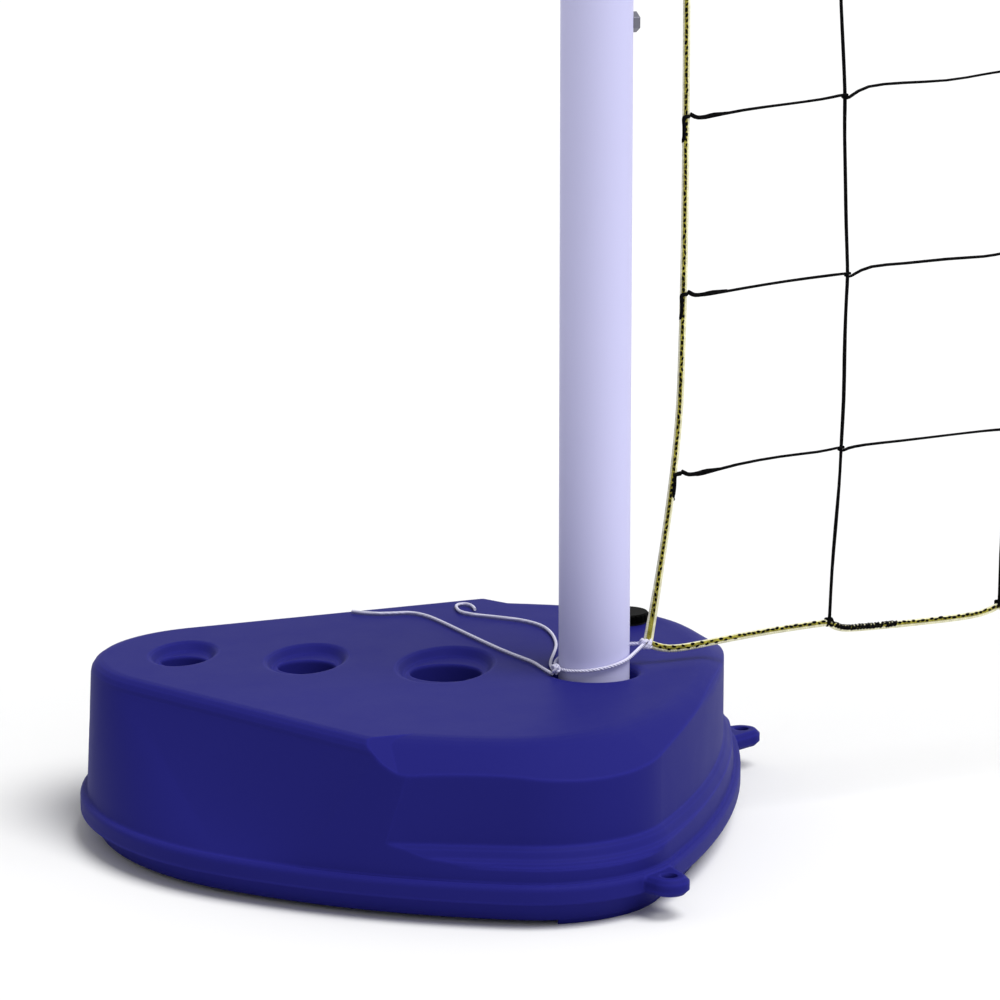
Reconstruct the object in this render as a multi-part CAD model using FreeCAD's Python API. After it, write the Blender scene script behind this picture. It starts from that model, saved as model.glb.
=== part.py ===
import FreeCAD, Part
import math
import os

# Freestanding volleyball net: a knotted net tied between two tube poles, each pole standing
# in a water-fillable moulded base. Millimetres, +Z up, X along the net, origin on the floor
# midway between the poles. The two ends are the same pieces turned half round about Z.

V = FreeCAD.Vector
UP = V(0, 0, 1)

# base tank: heights above the floor
tank_height = 94.0
flange_top = 24.0
flange_thickness = 10.0
foot_height = 3.0
base_turn_deg = -34.0        # heading of the wide end of the left base, from the net line

# base tank: top outline of the wall, in the base's own frame (pole axis at 0, 0)
wall_end = 69.0
wall_end_radius = 700.0
wall_end_sweep = 12.0
wall_corner_radius = 52.0
wall_turn_radius = 45.0
flank_angle = 34.0
wall_nose = 289.5
wall_nose_radius = 83.0

# base tank: outline of the parting flange
flange_end = 79.0
flange_end_radius = 650.0
flange_end_sweep = 11.6
flange_corner_radius = 81.0
flange_corner_sweep = 74.8
flange_side_radius = 393.0
flange_side_sweep = 7.0
flange_turn_sweep = 11.0
flange_flank_sweep = 7.6
flange_step = 4.0
flange_edge_radius = 2.5
skirt_inset = 4.0
bottom_inset = 10.0

# sloped shoulder round the wide part of the deck
shoulder_end = 63.0
shoulder_end_radius = 266.0
shoulder_end_sweep = 26.7
shoulder_corner_radius = 76.0
shoulder_corner_sweep = 55.3
shoulder_side_radius = 250.0
shoulder_side_sweep = 9.0
shoulder_slope_deg = 32.0
shoulder_corner_along = -73.7
shoulder_corner_aside = 185.8
shoulder_corner_height = 79.0
shoulder_crease_heading = 150.0
shoulder_crease_slope_deg = 30.0
shoulder_crease_overlap = 20.0
shoulder_crest_radius = 28.0
deck_edge_radius = 8.0
rounding_steps = 4

# crescent ledge low on the wide part of the wall
ledge_end = 69.0
ledge_end_radius = 600.0
ledge_end_sweep = 12.0
ledge_corner_radius = 72.0
ledge_corner_sweep = 73.2
ledge_cove = ((32.5, 7.0), (34.5, 6.3), (36.0, 4.4), (40.0, 2.2), (42.0, 0.0))    # height and reach of each step

# moulded wall, recesses in the deck (a round hole in an oval dish) and pole socket
tank_wall = 3.0
recess_places = (-85.0, -165.5, -237.5)
recess_holes = (40.6, 33.0, 26.0)
recess_dishes = (56.0, 47.0, 39.0)
recess_dish_depth = 5.0
recess_dish_side = 6.0
recess_dish_stretch = 1.62
recess_lip_radius = 1.0
recess_taper_deg = 8.0
recess_floor = 20.0
socket_floor = 12.0
socket_clearance = 0.4
socket_mouth = 48.0
socket_mouth_depth = 16.0
socket_lip_radius = 5.0

# ears for ground stakes, at the wide corners
ear_along = 65.0
ear_aside = 157.0
ear_radius = 11.0
ear_thickness = 9.5
ear_below_flange = 1.0
ear_hole = 9.0
ear_root = 26.0
ear_root_width = 34.0
ear_edge_bevel = 2.5

# feet moulded under the wide corners and the nose
foot_inset = 12.0
foot_width = 18.0
foot_start = 9.0
foot_near_axis = 60.0
nose_foot_radius = 22.0
nose_foot_along = -235.0

# filler neck, seal ring and screw cap
cap_along = 0.0
cap_aside = 122.0
cap_diameter = 27.0
cap_head = 5.0
cap_grips = 24
cap_grip_depth = 0.5
cap_plug_diameter = 18.0
cap_plug_length = 9.0
cap_plug_bore = 12.0
neck_clearance = 0.4
neck_depth = 12.0
neck_wall = 2.5
seal_thickness = 1.5
seal_width = 3.0

# tube poles in two lengths, joined by an inner sleeve and two through bolts
pole_diameter = 40.0
pole_wall = 1.5
pole_seam = 484.0
pole_above_cord = 29.6
sleeve_half_length = 45.0
sleeve_wall = 1.6
bolt_diameter = 6.0
bolt_hole = 6.4
bolt_head_flats = 10.0
bolt_head_thickness = 4.0
bolt_tail = 2.0
nut_thickness = 5.0
bolt_from_seam = 26.0
foot_plug_flange = 2.0
foot_plug_length = 22.0
plug_clearance = 0.05
top_cap_lip = 1.0
top_cap_rise = 7.0
top_cap_length = 18.0

# eye bolt that the head cord is tied to
eye_shank = 6.0
eye_ring_radius = 7.0
eye_wire = 4.0

# net: meshes, twine, edge tape, head tape and head cord
mesh_pitch = 101.6
mesh_columns = 33
mesh_rows = 9
twine = 2.4
edge_tape_width = 5.0
edge_tape_thickness = 3.0
head_tape_width = 34.0
head_tape_thickness = 2.4
head_cord = 4.0
head_cord_cover = 1.1
head_cord_down = 7.0
net_to_pole = 56.0
net_foot = 106.5
corner_draw = (22.0, 4.0, 1.0)    # how far the tied corner draws the side tape in, per row

# tie string at the bottom corners
string = 1.8
string_gap = 0.5
loop_gap = 1.0
loop_low = 2.0
corner_knot = 8.0
loop_knot = 6.0
knot_flatness = 0.8
knot_steps = 6
knot_turn_deg = 189.0
tail_a = ((-24.4, -2.4), (-21.8, 11.0), (-15.5, 25.0), (-5.5, 42.0), (3.0, 57.0), (9.5, 73.0),
          (14.5, 90.0), (17.0, 107.0), (12.5, 124.0), (3.0, 136.0), (-8.0, 148.0), (-13.0, 158.0),
          (-11.5, 168.0), (-8.0, 177.0), (-1.5, 178.0), (0.5, 170.5), (-2.5, 161.0))
tail_b = ((-27.0, -2.6), (-26.5, 12.0), (-25.0, 27.0), (-27.5, 43.0), (-29.5, 60.0), (-30.8, 80.0),
          (-31.7, 101.0), (-32.5, 122.0), (-33.3, 142.0), (-34.8, 158.0), (-40.0, 170.0),
          (-52.0, 172.0), (-63.5, 176.5), (-71.0, 186.5))

# worked out from the sizes above
pole_radius = pole_diameter / 2
pole_inner = pole_radius - pole_wall
net_half = mesh_pitch * mesh_columns / 2
pole_x = net_half + net_to_pole
net_top = net_foot + mesh_pitch * mesh_rows
head_tape_bottom = net_top - edge_tape_width / 2
head_tape_top = head_tape_bottom + head_tape_width
head_cord_z = head_tape_top - head_cord_down
pole_top = head_cord_z + pole_above_cord
base_turn = math.radians(base_turn_deg)
LEFT_END = V(-pole_x, 0, 0)


def polar(length, degrees):
    """A vector in plan from its length and heading."""
    a = math.radians(degrees)
    return V(length * math.cos(a), length * math.sin(a), 0)


def arc_run(here, heading, radius, sweep):
    """A tangent arc turning left: its three points and the heading that it ends on."""
    centre = here + polar(radius, heading + 90)
    middle = centre - polar(radius, heading + 90 + sweep / 2)
    last = centre - polar(radius, heading + 90 + sweep)
    return (here, middle, last), heading + sweep


def wide_end(end, sweeps):
    """Tangent arcs from the wide end on the axis round one side, as (radius, degrees) pairs."""
    here, heading = V(end, 0, 0), 90.0
    pieces = []
    for radius, sweep in sweeps:
        piece, heading = arc_run(here, heading, radius, sweep)
        pieces.append(piece)
        here = piece[2]
    return pieces, here, heading


def edge(first, middle, last):
    if middle is None:
        return Part.LineSegment(first, last).toShape()
    return Part.Arc(first, middle, last).toShape()


def closed_wire(pieces, z):
    """Mirror half an outline about the axis and lift it to height z."""
    lift = V(0, 0, z)
    upper = [edge(a + lift, None if m is None else m + lift, b + lift) for a, m, b in pieces]
    lower = []
    for a, m, b in reversed(pieces):
        flip = [None if p is None else V(p.x, -p.y, z) for p in (b, m, a)]
        lower.append(edge(*flip))
    return Part.Wire(upper + lower)


def wall_outline(z, grow=0.0):
    """Rounded triangle: end arc, corner, side along the axis, straight flank and round nose."""
    corner = (wall_corner_radius + grow, 90 - wall_end_sweep)
    pieces, here, heading = wide_end(wall_end + grow, ((wall_end_radius + grow, wall_end_sweep), corner))
    turn_radius = wall_turn_radius + grow
    nose_radius = wall_nose_radius + grow
    tilt = math.radians(flank_angle)
    nose_start = V(-wall_nose - grow + nose_radius * (1 - math.sin(tilt)), nose_radius * math.cos(tilt), 0)
    turn_end = V(0, here.y - turn_radius * (1 - math.cos(tilt)), 0)
    turn_end.x = nose_start.x + (turn_end.y - nose_start.y) / math.tan(tilt)
    turn_start = V(turn_end.x + turn_radius * math.sin(tilt), here.y, 0)
    turn, heading = arc_run(turn_start, heading, turn_radius, flank_angle)
    nose, heading = arc_run(nose_start, heading, nose_radius, 90 - flank_angle)
    pieces += [(here, None, turn_start), turn, (turn[2], None, nose_start), nose]
    return closed_wire(pieces, z)


def flange_outline(z, grow=0.0):
    """Egg shape: end arc, corner, long side arc in three runs, and a nose arc that closes it."""
    side = flange_side_radius + grow
    pieces, here, heading = wide_end(flange_end + grow, (
        (flange_end_radius + grow, flange_end_sweep),
        (flange_corner_radius + grow, flange_corner_sweep),
        (side, flange_side_sweep), (side, flange_turn_sweep), (side, flange_flank_sweep)))
    nose_radius = here.y / math.cos(math.radians(heading - 180))
    nose, heading = arc_run(here, heading, nose_radius, 270 - heading)
    return closed_wire(pieces + [nose], z)


def run_past_nose(pieces, here, heading, z):
    """Close an outline that only shapes the wide end by running its sides out past the nose."""
    run = (here.x + 1.25 * wall_nose) / math.cos(math.radians(heading - 180))
    last = here + polar(run, heading)
    return closed_wire(pieces + [(here, None, last), (last, None, V(last.x, 0, 0))], z)


def shoulder_outline(z, grow=0.0):
    sweeps = ((shoulder_end_radius + grow, shoulder_end_sweep),
              (shoulder_corner_radius + grow, shoulder_corner_sweep),
              (shoulder_side_radius + grow, shoulder_side_sweep))
    return run_past_nose(*wide_end(shoulder_end + grow, sweeps), z)


def ledge_outline(z, grow=0.0):
    sweeps = ((ledge_end_radius + grow, ledge_end_sweep), (ledge_corner_radius + grow, ledge_corner_sweep))
    return run_past_nose(*wide_end(ledge_end + grow, sweeps), z)


def loft(low, high):
    """Solid with ruled sides from a lower outline to an upper one of as many edges."""
    return Part.makeLoft([low, high], True, True)


def revolved(points, axis_place=V(0, 0, 0)):
    """Turn a closed profile of (radius, height) points round a vertical axis."""
    ring = Part.makePolygon([V(r, 0, z) for r, z in points] + [V(points[0][0], 0, points[0][1])])
    solid = Part.Face(ring).revolve(V(0, 0, 0), UP, 360)
    return solid.translated(axis_place)


def rounded_rim(outline, radius, side_deg):
    """Outlines that round the side, rising at this slope, over into the deck."""
    inset = radius * math.tan(math.radians(side_deg / 2))
    wires = []
    for k in range(rounding_steps + 1):
        tilt = math.radians(side_deg * (1 - k / rounding_steps))
        wires.append(outline(tank_height - radius + radius * math.cos(tilt), radius * math.sin(tilt) - inset))
    return wires


def shoulder_ends():
    """Wedges that end the shoulder in a crease on each side, where the wall turns to the flank."""
    along = polar(1, shoulder_crease_heading)
    uphill = polar(1, shoulder_crease_heading + 90)
    corner = V(shoulder_corner_along, shoulder_corner_aside, 0)
    rise = math.tan(math.radians(shoulder_crease_slope_deg))
    high = tank_height + 1
    far = 2 * wall_nose
    profile = []
    for run, z in (((flange_top - shoulder_corner_height) / rise, flange_top),
                   ((high - shoulder_corner_height) / rise, high), (far, high), (far, flange_top)):
        profile.append(corner + uphill * run - along * shoulder_crease_overlap + V(0, 0, z))
    wedge = Part.Face(Part.makePolygon(profile + [profile[0]])).extrude(along * far)
    return [wedge, wedge.mirror(V(0, 0, 0), V(0, 1, 0))]


def lip(radius, top, size):
    """Profile of a rounded lip, from the flat round it down to the wall of its hole."""
    points = []
    for k in range(rounding_steps + 1):
        turn = math.radians(90.0 * k / rounding_steps)
        points.append((radius + size - size * math.sin(turn), top - size + size * math.cos(turn)))
    return points


def stretched(shape):
    """Draw a round dish out to an oval across the base."""
    matrix = FreeCAD.Matrix()
    matrix.scale(1.0, recess_dish_stretch, 1.0)
    return shape.transformGeometry(matrix)


def recess_dish(radius):
    """Cutter for the oval dish: its side runs over and under in an S."""
    side = []
    for k in range(rounding_steps + 1):
        part = k / rounding_steps
        fall = recess_dish_depth * (1 - math.cos(math.pi * part)) / 2
        side.append((radius - recess_dish_side * part, tank_height - fall))
    return stretched(revolved([(0, tank_height)] + side + [(0, tank_height - recess_dish_depth)]))


def recess(hole, dish):
    """Cutters for one recess and the plugs that its own moulded wall leaves in the hollow."""
    top = tank_height - recess_dish_depth
    drop = (top - recess_lip_radius - recess_floor) * math.tan(math.radians(recess_taper_deg))
    shaft = [(0, top)] + lip(hole / 2, top, recess_lip_radius) + [(hole / 2 - drop, recess_floor), (0, recess_floor)]
    cutters = [recess_dish(dish / 2), revolved(shaft)]
    outer = hole / 2 + tank_wall
    pillar = revolved([(0, recess_floor - tank_wall), (outer - drop, recess_floor - tank_wall),
                       (outer + recess_lip_radius, top), (0, top)])
    saucer = stretched(Part.makeCylinder(dish / 2 + tank_wall, recess_dish_depth + tank_wall, V(0, 0, top - tank_wall)))
    return cutters, [pillar, saucer]


def tank_body():
    """Outer form: twisted wall, sloped shoulder, crescent ledge, flange, skirt and feet."""
    wall = Part.makeLoft([flange_outline(flange_top, -flange_step)]
                         + rounded_rim(wall_outline, deck_edge_radius, 90.0), True, True)
    slope_run = (tank_height - flange_top) / math.tan(math.radians(shoulder_slope_deg))
    shoulder = Part.makeLoft([shoulder_outline(flange_top, slope_run)]
                             + rounded_rim(shoulder_outline, shoulder_crest_radius, shoulder_slope_deg), True, True)
    wall = wall.common(shoulder.fuse(shoulder_ends())).cut(ledge_cutter())
    flange = loft(flange_outline(flange_top - flange_thickness), flange_outline(flange_top))
    flange = flange.makeFillet(flange_edge_radius, [e for e in flange.Edges
                                                    if e.BoundBox.ZMin > flange_top - 0.01])
    skirt = loft(flange_outline(foot_height, -bottom_inset),
                 flange_outline(flange_top - flange_thickness, -skirt_inset))
    return wall.fuse([flange, skirt] + ears()).removeSplitter()


def ledge_cutter():
    """What is taken off the wall outside the ledge, down to a cove of sloping steps."""
    low = ledge_cove[0][0]
    outlines = [ledge_outline(z, reach) for z, reach in ledge_cove] + [ledge_outline(tank_height + 1)]
    kept = Part.makeLoft(outlines, True, True)
    reach = 2 * wall_nose
    return Part.makeCylinder(reach, tank_height + 1 - low, V(0, 0, low)).cut(kept)


def ears():
    """A rounded tongue at each wide corner, at flange height, on a root that widens inwards."""
    solids = []
    for side in (-1, 1):
        centre = V(ear_along, side * ear_aside, flange_top - ear_below_flange - ear_thickness)
        out = V(1, side, 0).normalize()
        across = V(-out.y, out.x, 0)
        half = ear_root_width / 2
        inner = centre - out * ear_root
        rim = [centre + across * ear_radius, inner + across * half, inner - across * half, centre - across * ear_radius]
        edges = [Part.LineSegment(p, q).toShape() for p, q in zip(rim, rim[1:])]
        edges.append(Part.Arc(rim[3], centre + out * ear_radius, rim[0]).toShape())
        tongue = Part.Face(Part.Wire(edges)).extrude(V(0, 0, ear_thickness))
        outer = [e for e in tongue.Edges if e.BoundBox.ZLength < 0.01 and e.CenterOfMass.distanceToPoint(inner) > half]
        solids.append(tongue.makeChamfer(ear_edge_bevel, outer))
    return solids


def feet():
    """Low pads under the two wide corners and a round one under the nose."""
    pads = [Part.makeCylinder(nose_foot_radius, foot_height + 1, V(nose_foot_along, 0, 0))]
    outer = loft(flange_outline(0, -foot_inset), flange_outline(foot_height + 1, -foot_inset + 1))
    inner = loft(flange_outline(-1, -foot_inset - foot_width),
                 flange_outline(foot_height + 2, -foot_inset - foot_width))
    ring = outer.cut(inner)
    reach = 2 * wall_nose
    sector = Part.makeBox(reach, reach, foot_height + 3, V(foot_start, foot_near_axis, -1))
    pads.append(ring.common(sector))
    pads.append(ring.common(sector.mirror(V(0, 0, 0), V(0, 1, 0))))
    return pads


def tank_cavity():
    """The hollow inside the moulded wall: skirt below the flange, twisted wall and shoulder above."""
    low = foot_height + tank_wall
    high = tank_height - tank_wall
    inset = -flange_step - tank_wall
    skirt = loft(flange_outline(low, -bottom_inset - tank_wall), flange_outline(flange_top, inset))
    upper = loft(flange_outline(flange_top, inset), wall_outline(high, -deck_edge_radius))
    slope_run = (high - flange_top) / math.tan(math.radians(shoulder_slope_deg))
    shoulder = loft(shoulder_outline(flange_top, slope_run - 2 * tank_wall), shoulder_outline(high, -2 * tank_wall))
    ledge = loft(ledge_outline(flange_top, -tank_wall), ledge_outline(high, -tank_wall))
    return upper.common(shoulder).common(ledge).fuse(skirt)


def base_tank():
    """Hollow moulded tank with recesses, pole socket, filler neck and ear holes."""
    solid = tank_body()
    solid = solid.fuse(feet())
    cavity = tank_cavity()
    recesses = []
    jackets = []
    for along, hole, dish in zip(recess_places, recess_holes, recess_dishes):
        cutters, plugs = recess(hole, dish)
        recesses += [c.translated(V(along, 0, 0)) for c in cutters]
        jackets += [j.translated(V(along, 0, 0)) for j in plugs]
    socket_r = pole_radius + socket_clearance
    narrow = tank_height - socket_mouth_depth
    mouth_r = socket_mouth / 2
    socket = revolved([(0, tank_height)] + lip(mouth_r, tank_height, socket_lip_radius)
                      + [(socket_r, narrow), (socket_r, socket_floor), (0, socket_floor)])
    jackets.append(revolved([(0, 0), (socket_r + tank_wall, 0), (socket_r + tank_wall, narrow),
                             (mouth_r + tank_wall, tank_height - socket_lip_radius),
                             (mouth_r + tank_wall + socket_lip_radius, tank_height), (0, tank_height)]))
    neck = V(cap_along, cap_aside, tank_height - neck_depth)
    neck_r = cap_plug_diameter / 2 + neck_clearance
    jackets.append(Part.makeCylinder(neck_r + neck_wall, neck_depth, neck))
    filler = Part.makeCylinder(neck_r, neck_depth, neck)
    solid = solid.cut(cavity.cut(jackets))
    ear_holes = [Part.makeCylinder(ear_hole / 2, flange_top, V(ear_along, s * ear_aside, 0)) for s in (-1, 1)]
    return solid.cut(recesses + [socket, filler] + ear_holes)


def filler_cap():
    """Screw cap: gripped head, hollow plug down into the neck."""
    r = cap_diameter / 2
    z = tank_height + seal_thickness
    head = revolved([(0, z), (r, z), (r, z + cap_head - 1), (r - 1, z + cap_head), (0, z + cap_head)])
    plug_r = cap_plug_diameter / 2
    plug = Part.makeCylinder(plug_r, cap_plug_length + seal_thickness, V(0, 0, tank_height - cap_plug_length))
    bore = Part.makeCylinder(cap_plug_bore / 2, cap_plug_length, V(0, 0, tank_height - cap_plug_length))
    solid = head.fuse(plug).cut(bore)
    notch = Part.makeCylinder(cap_grip_depth * 2, cap_head, V(r + cap_grip_depth, 0, z))
    grips = []
    for k in range(cap_grips):
        grips.append(notch.rotated(V(0, 0, 0), UP, 360.0 * k / cap_grips))
    return solid.cut(grips)


def cap_seal():
    plug_r = cap_plug_diameter / 2
    inner = Part.makeCylinder(plug_r + 0.1, seal_thickness, V(0, 0, tank_height))
    outer = Part.makeCylinder(plug_r + 0.1 + seal_width, seal_thickness, V(0, 0, tank_height))
    return outer.cut(inner)


def tube(outer, inner, z0, z1):
    return Part.makeCylinder(outer, z1 - z0, V(0, 0, z0)).cut(Part.makeCylinder(inner, z1 - z0, V(0, 0, z0)))


def bolt_heights():
    return (pole_seam - bolt_from_seam, pole_seam + bolt_from_seam)


def cross_hole(z, diameter):
    """Cutter for a hole through both sides of the tube."""
    return Part.makeCylinder(diameter / 2, 2 * pole_diameter, V(-pole_diameter, 0, z), V(1, 0, 0))


def side_hole(z):
    """Cutter for a bolt hole through the +X side of the tube only."""
    return Part.makeCylinder(bolt_hole / 2, pole_diameter, V(0, 0, z), V(1, 0, 0))


def pole_lower():
    solid = tube(pole_radius, pole_inner, socket_floor + foot_plug_flange, pole_seam)
    return solid.cut(side_hole(bolt_heights()[0]))


def pole_upper():
    solid = tube(pole_radius, pole_inner, pole_seam, pole_top)
    holes = [side_hole(bolt_heights()[1]), cross_hole(head_cord_z, eye_shank + 0.4)]
    return solid.cut(holes)


def pole_sleeve():
    outer = pole_inner - plug_clearance
    solid = tube(outer, outer - sleeve_wall, pole_seam - sleeve_half_length, pole_seam + sleeve_half_length)
    return solid.cut([side_hole(z) for z in bolt_heights()])


def hexagon(flats, thickness, place, axis=V(1, 0, 0)):
    """A hexagonal prism standing on place, along X."""
    r = flats / math.sqrt(3)
    ring = [place + V(0, r * math.sin(math.radians(60 * k)), r * math.cos(math.radians(60 * k)))
            for k in range(7)]
    return Part.Face(Part.makePolygon(ring)).extrude(axis * thickness)


def nut_seat():
    """Distance from the axis at which a nut's corners meet the inside of the round sleeve."""
    bore = pole_inner - plug_clearance - sleeve_wall
    return math.sqrt(bore ** 2 - bolt_head_flats ** 2 / 3) - plug_clearance


def pole_bolts():
    """Hex screws put in from the +X side."""
    solids = []
    start = nut_seat() - nut_thickness - bolt_tail
    for z in bolt_heights():
        shank = Part.makeCylinder(bolt_diameter / 2, pole_radius - start, V(start, 0, z), V(1, 0, 0))
        solids.append(hexagon(bolt_head_flats, bolt_head_thickness, V(pole_radius, 0, z)).fuse(shank))
    return solids


def pole_nuts():
    """Nuts held against the inside of the sleeve."""
    solids = []
    start = nut_seat() - nut_thickness
    for z in bolt_heights():
        nut = hexagon(bolt_head_flats, nut_thickness, V(start, 0, z))
        solids.append(nut.cut(Part.makeCylinder(bolt_diameter / 2 + plug_clearance, nut_thickness,
                                                V(start, 0, z), V(1, 0, 0))))
    return solids


def foot_plug():
    spigot = pole_inner - plug_clearance
    z = socket_floor
    return revolved([(0, z), (pole_radius - 0.5, z), (pole_radius, z + 0.5), (pole_radius, z + foot_plug_flange),
                     (spigot, z + foot_plug_flange), (spigot, z + foot_plug_length),
                     (spigot - 2, z + foot_plug_length), (spigot - 2, z + 4), (0, z + 4)])


def top_cap():
    spigot = pole_inner - plug_clearance
    rim = pole_radius + top_cap_lip
    z = pole_top
    low = z - top_cap_length
    dome = []
    for k in range(1, rounding_steps + 2):
        turn = math.radians(90.0 * k / (rounding_steps + 1))
        dome.append((rim * math.sin(turn), z + 2 + (top_cap_rise - 2) * math.cos(turn)))
    return revolved([(0, z + top_cap_rise)] + dome
                    + [(rim, z), (spigot, z), (spigot, low), (spigot - 2, low), (spigot - 2, z - 1), (0, z - 1)])


def eye_bolt():
    ring_x = pole_radius + eye_wire / 2 + eye_ring_radius + 1
    section = []
    for k in range(9):
        turn = math.radians(45.0 * k + 22.5)
        section.append(V(ring_x + eye_ring_radius + eye_wire / 2 * math.cos(turn), eye_wire / 2 * math.sin(turn),
                         head_cord_z))
    ring = Part.Face(Part.makePolygon(section)).revolve(V(ring_x, 0, head_cord_z), V(0, 1, 0), 360)
    tail = pole_radius + nut_thickness + bolt_tail
    length = tail + ring_x - eye_ring_radius
    shank = Part.makeCylinder(eye_shank / 2, length, V(-tail, 0, head_cord_z), V(1, 0, 0))
    return ring.fuse(shank)


def eye_nut():
    nut = hexagon(bolt_head_flats, nut_thickness, V(-pole_radius - nut_thickness, 0, head_cord_z))
    return nut.cut(Part.makeCylinder(eye_shank / 2 + plug_clearance, nut_thickness,
                                     V(-pole_radius - nut_thickness, 0, head_cord_z), V(1, 0, 0)))


def corner_x():
    """Distance of the tied net corner from the pole axis."""
    return net_to_pole - corner_draw[0]


def tie_loop():
    """String loop drawn from the net corner round the pole, tilted low on the far side."""
    r = pole_radius + loop_gap + string / 2
    low = tank_height + string_gap + string / 2 + loop_low
    reach = corner_x() - corner_knot / 2
    tilt = math.atan((net_foot - low) / (reach + r))
    apart = string * 0.62
    swing = math.degrees(math.atan2(apart, reach) + math.acos(r / math.hypot(reach, apart)))
    tip = V(reach, apart, 0)
    ends = [Part.LineSegment(tip, polar(r, swing)).toShape(),
            Part.Arc(polar(r, swing), polar(r, (swing + 180) / 2), polar(r, 180)).toShape(),
            Part.Arc(polar(r, 180), polar(r, (540 - swing) / 2), polar(r, -swing)).toShape(),
            Part.LineSegment(polar(r, -swing), V(reach, -apart, 0)).toShape()]
    start = Part.Wire(Part.Circle(tip, polar(r, swing) - tip, string / 2).toShape())
    loop = Part.Wire(ends).makePipeShell([start], True, False, 2)
    loop = loop.rotated(V(0, 0, 0), V(0, 1, 0), -math.degrees(tilt))
    return loop.translated(V(0, 0, low + r * math.tan(tilt)))


def ball_knot(size, place):
    """A small rounded knot with flattened poles."""
    profile = []
    for k in range(knot_steps + 1):
        lift = math.radians(180.0 * k / knot_steps - 90)
        profile.append((size / 2 * math.cos(lift), size * knot_flatness / 2 * math.sin(lift)))
    return revolved(profile, place)


def corner_knot_piece():
    """String knotted round the corner of the tapes."""
    ball = ball_knot(corner_knot, V(corner_x() - edge_tape_width / 4, 0, net_foot))
    side = side_tape().translated(LEFT_END * -1)
    bottom = bottom_tape().translated(LEFT_END * -1)
    mesh = Part.makeBox(corner_knot, twine, corner_knot,
                        V(corner_x() + edge_tape_width / 2, -twine / 2, net_foot))
    return ball.cut([side, bottom, mesh, tie_loop()])


def limp_tube(points, z, diameter):
    """A tube along straight runs joined by tangent arcs, as large as the runs allow."""
    route = [V(x, y, z) for x, y in points]
    edges = []
    here = route[0]
    least = None
    for k in range(1, len(route) - 1):
        before = route[k] - route[k - 1]
        after = route[k + 1] - route[k]
        turn = before.getAngle(after)
        radius = 0.45 * min(before.Length, after.Length) / math.tan(turn / 2)
        least = radius if least is None else min(least, radius)
        cut = radius * math.tan(turn / 2)
        first = route[k] - before.normalize() * cut
        last = route[k] + after.normalize() * cut
        bisector = (first + last) * 0.5 - route[k]
        deep = radius / math.cos(turn / 2) - radius
        middle = route[k] + bisector.normalize() * deep
        edges.append(Part.LineSegment(here, first).toShape())
        edges.append(Part.Arc(first, middle, last).toShape())
        here = last
    edges.append(Part.LineSegment(here, route[-1]).toShape())
    spine = Part.Wire(edges)
    start = Part.Wire(Part.Circle(route[0], route[1] - route[0], diameter / 2).toShape())
    solid = spine.makePipeShell([start], True, False, 2)
    plain = math.pi * diameter ** 2 / 4 * spine.Length
    print("tube length %.1f least radius %.1f volume ratio %.4f" % (spine.Length, least, solid.Volume / plain))
    return solid


def edge_point(row):
    """Side tape centre line, from the pole axis, at one row of knots."""
    near = min(row, mesh_rows - row)
    draw = corner_draw[near] if near < len(corner_draw) else 0.0
    if row == mesh_rows:
        draw = 0.0
    return net_to_pole - draw


def knot_place(column, row, inset=0.0):
    """A knot of the net, with the outer ones on the inner face of the tape."""
    z = net_foot + mesh_pitch * row
    if row == 0:
        z += inset
    if row == mesh_rows:
        z = head_tape_bottom
    if column == 0:
        x = -pole_x + edge_point(row) + inset
    elif column == mesh_columns:
        x = pole_x - edge_point(row) - inset
    else:
        x = -net_half + mesh_pitch * column
    return x, z


def net_mesh():
    """One flat sheet of twine with an opening for every mesh."""
    inset = edge_tape_width / 2
    half = twine / 2

    def at(column, row, dx, dz):
        x, z = knot_place(column, row, inset)
        return V(x + dx, -half, z + dz)

    rim = [at(0, 0, 0, 0)]
    rim += [at(c, 0, 0, 0) for c in range(1, mesh_columns)]
    rim += [at(mesh_columns, r, 0, 0) for r in range(mesh_rows + 1)]
    rim += [at(c, mesh_rows, 0, 0) for c in range(mesh_columns - 1, 0, -1)]
    rim += [at(0, r, 0, 0) for r in range(mesh_rows, 0, -1)]
    outline = [rim[0]]
    for k in range(1, len(rim)):
        nxt = rim[(k + 1) % len(rim)]
        if (rim[k] - outline[-1]).cross(nxt - rim[k]).Length > 1e-6:
            outline.append(rim[k])
    wires = [Part.makePolygon(outline + [outline[0]])]
    for c in range(mesh_columns):
        for r in range(mesh_rows):
            left = twine if c == 0 else half
            right = twine if c == mesh_columns - 1 else half
            low = twine if r == 0 else half
            high = twine if r == mesh_rows - 1 else half
            hole = [at(c, r, left, low), at(c, r + 1, left, -high),
                    at(c + 1, r + 1, -right, -high), at(c + 1, r, -right, low)]
            wires.append(Part.makePolygon(hole + [hole[0]]))
    return Part.Face(wires).extrude(V(0, twine, 0))


def side_tape():
    """Stitched tape down one side, drawn in at the tied bottom corner."""
    half = edge_tape_width / 2
    inner = []
    outer = []
    for row in range(mesh_rows + 1):
        x = -pole_x + edge_point(row)
        z = net_foot + mesh_pitch * row
        if row == mesh_rows:
            z = head_tape_bottom
        levels = (z - half, z + half) if row == 0 else (z,)
        for level in levels:
            inner.append(V(x + half, -edge_tape_thickness / 2, level))
            outer.append(V(x - half, -edge_tape_thickness / 2, level))
    ring = inner + outer[::-1]
    keep = [p for k, p in enumerate(ring)
            if (p - ring[k - 1]).cross(ring[(k + 1) % len(ring)] - p).Length > 1e-6]
    return Part.Face(Part.makePolygon(keep + [keep[0]])).extrude(V(0, edge_tape_thickness, 0))


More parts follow.
